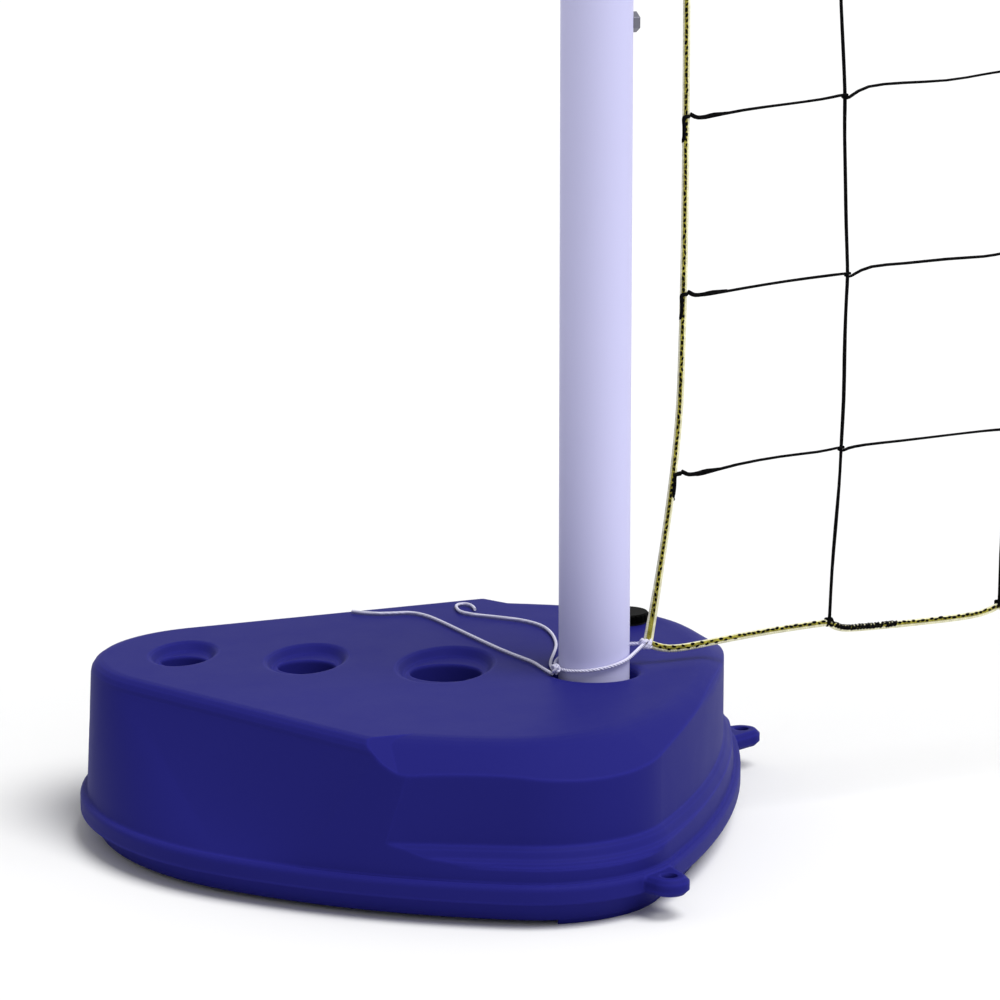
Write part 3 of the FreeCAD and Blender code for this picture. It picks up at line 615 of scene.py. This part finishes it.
def row_tail(row, way):
    """The twine's end, laid back along the row from the border and worked in."""
    a = knot(0 if way == 1 else COLUMNS, row)
    b = knot(1 if way == 1 else COLUMNS - 1, row)
    route = [place + Vector((0, -0.0009, 0.0009)) for place in row_start(row, way)]
    for share, lift in ROW_TAIL:
        route.append(a.lerp(b, share) + Vector((0, 0, lift)))
    return route


def column_route(column):
    """A column's twine from the foot border to the head tape, straight where the rows hitch it."""
    wander = random.Random(500 + column)
    slack = sizes().slack * COLUMN_SLACK
    route = [knot(column, 0)]
    for row in range(ROWS):
        a, b = knot(column, row), knot(column, row + 1)
        for share, loose in COLUMN_LOOSE:
            stray = Vector((wander.uniform(-1, 1), wander.uniform(-1, 1), 0)) * slack * loose
            route.append(a.lerp(b, share) + stray)
    route.append(knot(column, ROWS))
    return route


# Border

def side_route(end):
    """Centre line of the border up one side, from the tied corner to the head tape."""
    return [at_end(end, x, 0.0, z) for x, z in zip(EDGE_X, EDGE_Z)]


def foot_route():
    """Centre line of the border along the bottom, sagging between the columns that are tied to it."""
    wander = random.Random(77)
    points = [knot(0, 0)]
    for column in range(COLUMNS):
        a, b = knot(column, 0), knot(column + 1, 0)
        depth = wander.uniform(*SAG_DEPTH)
        sags = FIRST_SAGS if column == 0 else SAGS
        if column == COLUMNS - 1:
            sags = FIRST_SAGS[::-1]
        for share, sag in zip(SAG_SHARES, sags):
            points.append(a.lerp(b, share) - Vector((0, 0, sag * depth)))
        points.append(b)
    return points


def tape_outline():
    """Two soft ribs side by side with a groove between them on each face."""
    width = sizes().border_width
    outline = []
    for k in range(20):
        angle = math.tau * k / 20
        groove = 0.10 * max(0.0, 1.0 - 4.0 * abs(math.cos(angle)))
        outline.append((math.cos(angle) * 0.5 * width, math.sin(angle) * (0.36 - groove) * width))
    return outline


def strip(route, middle, slim, full=1.0, full_ends=(0,)):
    """The olive strip that the stitches hold down, on both faces, wide at the tied corners."""
    width = sizes().border_width
    stations = end_to_end(route, TAPE_STEP)
    found = []
    for lane in (-1, 0, 1):
        for face in (-1, 1):
            line = []
            for place, direction in stations:
                share = breadth(place, route, STRIP_CORNER, slim, full, full_ends)
                side = across(direction) * (middle + lane * STRIP_LANE * share) * width
                out = (0.27 - 0.04 * abs(lane)) * max(1.0, share)
                line.append(place + side + Vector((0, face * width * out, 0)))
            found.append(line)
    return found


def stitches(route, middle, swing, corners=(), plain=0.0):
    """Short fat thread stitches along both faces of a border, in two rows near its tied corners.

    The first stretch of the route, as long as plain, has none.
    """
    width = sizes().border_width
    wander = random.Random(len(route))
    found = []
    for k, (place, direction) in enumerate(along(route, sizes().stitch_pitch)):
        if (place - route[0]).length < plain:
            continue
        near = any((place - corner).length < STITCH_CORNER for corner in corners)
        step = (swing * 2.6 if near else swing) * (1 if k % 2 else -1)
        off = (0.6 * middle if near else middle) + step + wander.uniform(-0.06, 0.06)
        lean = direction * wander.uniform(0.9, 1.35) + across(direction) * wander.uniform(-0.4, 0.4)
        lean *= STITCH_HALF
        for face, low in ((-1, 0.0), (1, REAR_STITCH_DROP)):
            out = Vector((0, face * width, 0))
            top = place + across(direction) * (off - low) * width + out * 0.36
            found.append([top - lean - out * 0.06, top, top + lean - out * 0.06])
    return found


def end_hitch(place, direction, outward):
    """A row's end: round the border, then down along its outer edge and tucked behind."""
    side = outward * sizes().border_width
    back = Vector((0, sizes().border_width, 0))
    drop = -direction * HITCH_TUCK
    return [place - side * 0.3 - back * 0.1,
            place - side * 0.2 - back * 0.50,
            place + side * 0.45 - back * 0.42,
            place + side * 0.52 - back * 0.3 + drop * 0.10,
            place + side * 0.44 - back * 0.38 + drop * 0.4,
            place + side * 0.44 - back * 0.36 + drop * 0.8,
            place + side * 0.36 + back * 0.1 + drop,
            place + back * 0.45 + drop * 1.05]


def lashing(stations, turns):
    """Slanting turns of twine round the border, just after a column is tied to it."""
    wander = random.Random(turns + len(stations))
    a, b = sizes().border_width * 0.24, sizes().border_width * 0.42
    count = turns * 8
    route = []
    for k in range(count + 1):
        angle = math.tau * k / 8
        place, direction = stations[k * (len(stations) - 1) // count]
        lift = 0.0006 + wander.uniform(-0.0002, 0.0002)
        side = across(direction) * (a * math.cos(angle) + lift)
        slant = direction * 0.0007 * math.cos(angle)
        route.append(place + side + slant + Vector((0, 1, 0)) * b * math.sin(angle))
    return route


# Head and ties

def fold_outline():
    """Head tape folded over its cord: a round fold above two layers, the seam pinching them together."""
    drop = HEAD_CORD_Z - HEAD_TAPE_LOW
    half = []
    for k in range(9):
        angle = math.radians(90.0 - 150.0 * k / 8)
        half.append((FOLD_RADIUS * math.sin(angle), FOLD_RADIUS * math.cos(angle)))
    half += [(-0.0045, 0.0011), (-0.006, 0.0008), (-0.012, 0.0013), (-0.018, 0.0013),
             (-drop + 0.0045, 0.0012), (-drop + 0.0030, 0.0008), (-drop + 0.0010, 0.0012), (-drop, 0.0011)]
    return half + [(up, -out) for up, out in reversed(half[1:])]


def head_route(reach, count):
    """Places along the head cord, as far as reach on both sides of the middle."""
    return [Vector((-reach + 2 * reach * k / count, 0, HEAD_CORD_Z)) for k in range(count + 1)]


def seam_stitches(reach):
    """Two lines of stitches through the head tape, on both faces."""
    found = []
    for depth in SEAM_DEPTHS:
        for face in (-1, 1):
            for k in range(int(2 * reach / SEAM_PITCH) - 1):
                x = -reach + SEAM_START + SEAM_PITCH * k
                low, top = face * SEAM_OUT * 0.5, face * (SEAM_OUT + SEAM_RISE)
                found.append([Vector((x, low, HEAD_CORD_Z - depth)),
                              Vector((x + SEAM_HALF, top, HEAD_CORD_Z - depth)),
                              Vector((x + 2 * SEAM_HALF, low, HEAD_CORD_Z - depth))])
    return found


def head_hitch(end):
    """The head cord's bight through the eye, and the turns that close it."""
    bight = [at_end(end, x, y, HEAD_CORD_Z) for x, y in BIGHT]
    turns = []
    for k in range(33):
        angle = math.tau * k / 8
        turns.append(at_end(end, TURNS_START + TURNS_RUN * k / 32, TURNS_RADIUS * math.cos(angle),
                            HEAD_CORD_Z + TURNS_RADIUS * math.sin(angle)))
    return [bight, turns]


def loop_route(end):
    """The string from the net's corner round the pole, lower on the far side."""
    r = POLE_RADIUS + LOOP_GAP + sizes().string / 2
    low = DECK + LOOP_LIFT + sizes().string / 2
    reach = EDGE_X[0] - 0.003
    slope = (NET_FOOT - low) / (reach + r)
    swing = math.acos(r / reach)
    count = 20
    places = [(reach, 0.0011)]
    for k in range(count + 1):
        angle = swing + (math.tau - 2 * swing) * k / count
        places.append((r * math.cos(angle), r * math.sin(angle)))
    places.append((reach, -0.0011))
    return [at_end(end, x, y, low + (x + r) * slope) for x, y in places]


# Stage

def add_floor(scene):
    bm = bmesh.new()
    bmesh.ops.create_grid(bm, x_segments=1, y_segments=1, size=FLOOR_SIZE)
    data = bpy.data.meshes.new("floor")
    bm.to_mesh(data)
    bm.free()
    floor = bpy.data.objects.new("floor", data)
    scene.collection.objects.link(floor)
    material = bpy.data.materials.new("Pale floor")
    material.use_nodes = True
    shader = material.node_tree.nodes["Principled BSDF"]
    shader.inputs["Base Color"].default_value = (FLOOR_GREY, FLOOR_GREY, FLOOR_GREY, 1)
    shader.inputs["Roughness"].default_value = 0.9
    shader.inputs["Specular IOR Level"].default_value = 0.0
    data.materials.append(material)


def background(tree, strength):
    node = tree.nodes.new("ShaderNodeBackground")
    node.inputs["Color"].default_value = (1, 1, 1, 1)
    node.inputs["Strength"].default_value = strength
    return node.outputs[0]


def add_world(scene):
    """A soft white studio that looks plain white itself, also through and in the pieces."""
    world = bpy.data.worlds.new("Studio")
    scene.world = world
    world.use_nodes = True
    tree = world.node_tree
    tree.nodes.clear()
    output = tree.nodes.new("ShaderNodeOutputWorld")
    mix = tree.nodes.new("ShaderNodeMixShader")
    path = tree.nodes.new("ShaderNodeLightPath")
    seen = maths(tree, "ADD", path.outputs["Is Camera Ray"], path.outputs["Is Transmission Ray"])
    seen = maths(tree, "ADD", seen, path.outputs["Is Glossy Ray"])
    link(tree, maths(tree, "MINIMUM", seen, 1.0), mix.inputs["Fac"])
    link(tree, background(tree, SOFT_LIGHT), mix.inputs[1])
    link(tree, background(tree, 1.0), mix.inputs[2])
    link(tree, mix.outputs[0], output.inputs["Surface"])


def add_lamps(scene):
    for name, heading, height, strength, size in LAMPS:
        light = bpy.data.lights.new(name, "SUN")
        light.energy = strength
        light.angle = math.radians(size)
        lamp = bpy.data.objects.new(name, light)
        scene.collection.objects.link(lamp)
        around, above = math.radians(heading), math.radians(height)
        towards = Vector((math.cos(around) * math.cos(above), math.sin(around) * math.cos(above),
                          math.sin(above)))
        lamp.rotation_euler = towards.to_track_quat("Z", "Y").to_euler()


def add_camera(scene):
    right = Vector((math.cos(NET_TURN), -math.sin(NET_TURN), 0))
    away = Vector((math.sin(NET_TURN), math.cos(NET_TURN), 0))
    forward = away * math.cos(LOOK_DOWN) - Vector((0, 0, 1)) * math.sin(LOOK_DOWN)
    up = away * math.sin(LOOK_DOWN) + Vector((0, 0, 1)) * math.cos(LOOK_DOWN)
    target = Vector((-POLE_X, 0, DECK))
    place = target - (right * FOOT_RIGHT - up * FOOT_DOWN + forward * DISTANCE) * PER_PIXEL
    camera = bpy.data.cameras.new("camera")
    camera.lens = LENS
    camera.sensor_width = SENSOR
    camera.clip_end = 100.0
    holder = bpy.data.objects.new("camera", camera)
    holder.matrix_world = Matrix(((right.x, up.x, -forward.x, place.x),
                                  (right.y, up.y, -forward.y, place.y),
                                  (right.z, up.z, -forward.z, place.z), (0, 0, 0, 1)))
    scene.collection.objects.link(holder)
    scene.camera = holder
    scene.view_settings.view_transform = "Standard"


class NET_OT_finishes(bpy.types.Operator):
    """Materials of every piece"""
    bl_idname = "net.finishes"
    bl_label = "Finishes"

    def execute(self, context):
        moulded_surface()
        twisted_lay()
        tint = colours()
        # The base's colour gets a painted highlight along its edges
        finish("Blue moulded plastic", tint.base, "Moulded surface", 0.03, specular=0.022, soft_edge_mm=3.0,
               Pebble_scale=900.0, Mottle=0.03, Gloss_low=0.45, Gloss_high=0.55, Edge_rub=0.35)
        finish("Black plastic", (0.001, 0.001, 0.001), "Moulded surface", 0.02, specular=0.015,
               soft_edge_mm=0.5, Pebble_scale=1400.0, Mottle=0.1, Gloss_low=0.45, Gloss_high=0.55)
        finish("Seal rubber", (0.01, 0.01, 0.01), "Moulded surface", 0.02, specular=0.2, Pebble_scale=1800.0,
               Mottle=0.1, Gloss_low=0.65, Gloss_high=0.8)
        finish("Pole powder coat", tint.pole, "Moulded surface", 0.008, specular=0.05, Pebble_scale=1500.0,
               Mottle=0.02, Gloss_low=0.35, Gloss_high=0.45)
        # The zinc's dark colour is a painted dark reflection, standing in for the dark surroundings that bright
        # metal mirrors
        finish("Zinc plate", (0.17, 0.17, 0.21), "Moulded surface", 0.006, metallic=1.0, soft_edge_mm=0.6,
               Pebble_scale=2500.0, Mottle=0.2, Gloss_low=0.25, Gloss_high=0.42)
        # In these threads, Groove sets how much painted shade darkens the grooves between the plies
        finish("Black twine", tint.twine, "Twisted lay", 0.25, roughness=0.8, specular=0.04, Ply_scale=140.0,
               Groove=0.6)
        finish("Border tape", tint.border, "Twisted lay", 0.12, roughness=0.85, specular=0.1,
               Ply_scale=420.0, Groove=0.12, Patches=0.22)
        finish("Olive thread", tint.olive, "Twisted lay", 0.1, roughness=0.8, specular=0.1, Ply_scale=420.0,
               Groove=0.3, Patches=0.5)
        finish("White string", tint.string, "Twisted lay", 0.12, roughness=0.7, specular=0.2,
               Ply_scale=210.0, Groove=0.2)
        return {"FINISHED"}


class NET_OT_stage(bpy.types.Operator):
    """Floor, light and camera"""
    bl_idname = "net.stage"
    bl_label = "Stage"

    def execute(self, context):
        for add in (add_floor, add_world, add_lamps, add_camera):
            add(context.scene)
        return {"FINISHED"}


class NET_OT_ties(bpy.types.Operator):
    """White string round each pole, with its knots and loose ends"""
    bl_idname = "net.ties"
    bl_label = "Ties"

    def execute(self, context):
        thick = sizes().string
        lift = DECK + TAIL_LIFT + thick / 2
        for end in ("left", "right"):
            for name, route, length in TAILS:
                points = [at_end(end, x, y, lift) for x, y in route]
                piece = add_strands(name + "_cord_" + end, [points], thick, end + "_tie", "White string",
                                    "white_string", name + "_" + end, sides=10, steps=8)
            twist = plies(loop_route(end), thick * 1.25, STRING_LAY)
            add_strands("pole_tie_" + end, twist, thick * 0.66, "net_frame", "White string", "white_string",
                        "tie_loop_" + end, steps=2)
            corner = at_end(end, EDGE_X[0] - 0.001, 0.0, NET_FOOT)
            windings = [wound(corner, *winding) for winding in CORNER_KNOT]
            add_strands("corner_winding_" + end, windings, thick * 0.9, "net_frame", "White string",
                        "white_string", "corner_knot_" + end, sides=8, closed=True)
            reach = POLE_RADIUS + LOOP_GAP + thick + KNOT_OUT
            place = at_end(end, reach * math.cos(KNOT_TURN), reach * math.sin(KNOT_TURN), DECK + KNOT_LIFT)
            add_strands("pole_knot_" + end, [wound(place, *POLE_KNOT)], thick * 0.9, end + "_tie",
                        "White string", "white_string", "tie_knot_" + end, sides=8, steps=4, closed=True)
        return {"FINISHED"}


class NET_OT_netting(bpy.types.Operator):
    """Knotted net of black twine"""
    bl_idname = "net.netting"
    bl_label = "Netting"

    def execute(self, context):
        routes = [row_route(row) for row in range(1, ROWS)]
        routes += [row_tail(row, way) for row in range(1, ROWS) for way in (1, -1)]
        row_routes = len(routes)
        routes += [column_route(column) for column in range(1, COLUMNS)]
        data = strands("netting", routes, sizes().twine, steps=2, uneven=ROW_THICKNESS)
        for spline in data.splines[row_routes:]:
            for point in spline.points:
                point.radius *= COLUMN_EXTRA
        add_object("netting", data, "net_frame", "Black twine", "black_twine", "net_mesh")
        return {"FINISHED"}


class NET_OT_border(bpy.types.Operator):
    """Stitched border tape down both sides and along the bottom"""
    bl_idname = "net.border"
    bl_label = "Border"

    def execute(self, context):
        width, twine = sizes().border_width, sizes().twine
        foot = foot_route()
        sides = {"left": side_route("left"), "right": side_route("right")}
        for end, route in sides.items():
            data = swept("side_border_" + end, route, tape_outline(), TAPE_STEP, sway=0.06, slim=0.92, full=1.3)
            add_object("side_border_" + end, data, "net_frame", "Border tape", "border_tape",
                       "side_tape_" + end)
        data = swept("foot_border", foot, tape_outline(), TAPE_STEP, sway=0.08, slim=0.86, full_ends=(0, -1))
        add_object("foot_border", data, "net_frame", "Border tape", "border_tape", "bottom_tape")

        foot_stitches = stitches(foot, 0.26, 0.05, corners=(foot[0], foot[-1]))
        add_strands("foot_stitches", foot_stitches, STITCH, "net_frame", "Black twine", "black_twine",
                    steps=2, beads=True)
        strips = strip(foot, 0.12, 0.45, full_ends=(0, -1))
        side_stitches = []
        for end, inward in (("left", 1), ("right", -1)):
            strips += strip(sides[end], 0.12 * inward, 0.7, 1.2)
            side_stitches += stitches(sides[end], 0.15 * inward, 0.03, plain=0.016)
        add_strands("border_strips", strips, width * STRIP_THICKNESS, "net_frame", "Olive thread",
                    "border_tape", sides=4, steps=1)
        add_strands("side_stitches", side_stitches, STITCH, "net_frame", "Black twine", "black_twine",
                    steps=2, beads=True)

        hitches = []
        for end, outward in (("left", -1), ("right", 1)):
            route = sides[end]
            for row in range(1, ROWS):
                direction = (route[row + 1] - route[row - 1]).normalized()
                hitches.append(end_hitch(route[row], direction, Vector((outward, 0, 0))))
        add_strands("row_hitches", hitches, twine * 1.1, "net_frame", "Black twine", "black_twine")

        ties = []
        lumps = []
        wander = random.Random(9)
        for column in range(1, COLUMNS):
            tied = BAY_POINTS * column
            lumps.append(wound(foot[tied] + Vector((0, 0, 0.0004)), *FOOT_KNOT))
            bay = along(foot[tied:tied + 5], LASH_STEP)
            stop = LASH_GAP + wander.randint(*LASH_STEPS)
            ties.append(lashing(bay[LASH_GAP:stop], sizes().lash_turns))
            ties.append(lashing(bay[stop + 1:stop + 1 + SHORT_LASH_STEPS], SHORT_LASH_TURNS))
        add_strands("border_lashings", ties, twine * 0.8, "net_frame", "Black twine", "black_twine", steps=2)
        add_strands("border_lumps", lumps, twine * 0.9, "net_frame", "Black twine", "black_twine", steps=2,
                    closed=True)
        return {"FINISHED"}


class NET_OT_head(bpy.types.Operator):
    """Head tape folded over the head cord, sewn in two lines and tied off at the eyes"""
    bl_idname = "net.head"
    bl_label = "Head tape and cord"

    def execute(self, context):
        reach = POLE_X - EDGE_X[ROWS] + BAND_EXTRA
        data = swept("head_band", head_route(reach, 12), fold_outline(), BAND_STEP, sway=0.03)
        add_object("head_band", data, "net_frame", "Border tape", "head_tape", "head_tape")
        add_strands("head_seams", seam_stitches(reach), SEAM_THREAD, "net_frame", "Olive thread", "head_tape",
                    sides=4, steps=1)
        diameter = sizes().head_cord
        twist = plies(head_route(POLE_X - EYE_OUTER - 0.003, 20), diameter, CORD_LAY)
        add_strands("head_line", twist, diameter * 0.52, "net_frame", "White string", "white_string",
                    "head_cord", steps=1)
        for end in ("left", "right"):
            add_strands("head_hitch_" + end, head_hitch(end), diameter * 0.5, "net_frame", "White string",
                        "white_string", "head_knot_" + end, sides=8)
        return {"FINISHED"}


class NET_OT_hard_parts(bpy.types.Operator):
    """Finishes of the bases, caps, poles and fasteners"""
    bl_idname = "net.hard_parts"
    bl_label = "Bases and poles"

    def execute(self, context):
        for node, look in HARD_LOOKS.items():
            for end in ("left", "right"):
                paint(node + "_" + end, look)
        return {"FINISHED"}


class NET_PT_pieces(bpy.types.Panel):
    """Pieces of the net, in the sidebar"""
    bl_label = "Volleyball net"
    bl_idname = "NET_PT_pieces"
    bl_space_type = "VIEW_3D"
    bl_region_type = "UI"
    bl_category = "Volleyball net"

    def draw(self, context):
        for operator in OPERATORS:
            self.layout.operator(operator.bl_idname)
        for group in (context.scene.net_sizes, context.scene.net_colours):
            for name in group.bl_rna.properties.keys():
                if name not in ("rna_type", "name"):
                    self.layout.prop(group, name)


OPERATORS = (NET_OT_finishes, NET_OT_stage, NET_OT_ties, NET_OT_netting, NET_OT_border, NET_OT_head,
             NET_OT_hard_parts)
CLASSES = (NetSizes, NetColours) + OPERATORS + (NET_PT_pieces,)


def register():
    for cls in CLASSES:
        bpy.utils.register_class(cls)
    bpy.types.Scene.net_sizes = PointerProperty(type=NetSizes)
    bpy.types.Scene.net_colours = PointerProperty(type=NetColours)


def unregister():
    del bpy.types.Scene.net_colours
    del bpy.types.Scene.net_sizes
    for cls in reversed(CLASSES):
        bpy.utils.unregister_class(cls)


def main():
    register()
    bpy.ops.net.finishes()
    bpy.ops.net.stage()
    bpy.ops.net.ties()
    bpy.ops.net.netting()
    bpy.ops.net.border()
    bpy.ops.net.head()
    bpy.ops.net.hard_parts()


if __name__ == "__main__":
    main()
